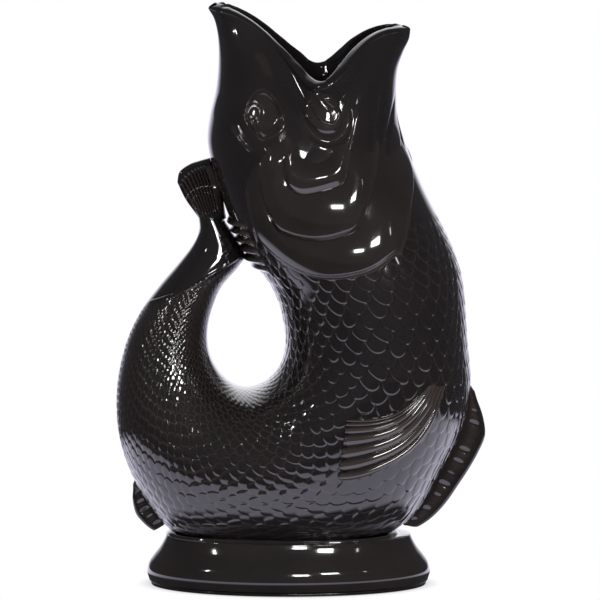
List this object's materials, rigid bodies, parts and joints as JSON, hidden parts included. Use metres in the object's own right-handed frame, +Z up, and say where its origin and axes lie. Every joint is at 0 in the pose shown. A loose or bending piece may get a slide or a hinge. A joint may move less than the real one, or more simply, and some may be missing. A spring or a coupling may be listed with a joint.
{
  "type": "gurgle jug",
  "caption": "Glazed ceramic pouring jug shaped as a fish standing on its belly on an oval foot, open mouth as spout and hollow tail loop as handle",
  "frame": {"origin": "On the table, under the middle of the jug's overall length, in its plane of symmetry", "axes": "+Z up, +X towards the lower jaw and belly, -X towards the tail handle, +Y towards the fish's left flank"},
  "size_m": [0.1546, 0.1128, 0.2453],
  "materials": {
    "glaze": "gloss",
    "bare_clay": "matte"
  },
  "bodies": {
    "root": {"head_casting": "glaze", "body_casting": "glaze", "tail_casting": "glaze", "foot": "glaze", "foot_ring": "bare_clay", "tail_fin": "glaze", "dorsal_fin": "glaze", "belly_fin": "glaze", "anal_fin": "glaze", "pectoral_fin_left": "glaze", "pectoral_fin_right": "glaze", "gill_cover_left": "glaze", "gill_cover_right": "glaze", "cheek_plate_left": "glaze", "cheek_plate_right": "glaze", "inner_cheek_left": "glaze", "inner_cheek_right": "glaze", "mouth_corner_left": "glaze", "mouth_corner_right": "glaze", "eye_ring_left": "glaze", "eye_ring_right": "glaze", "eye_left": "glaze", "eye_right": "glaze"}
  },
  "joints": []
}
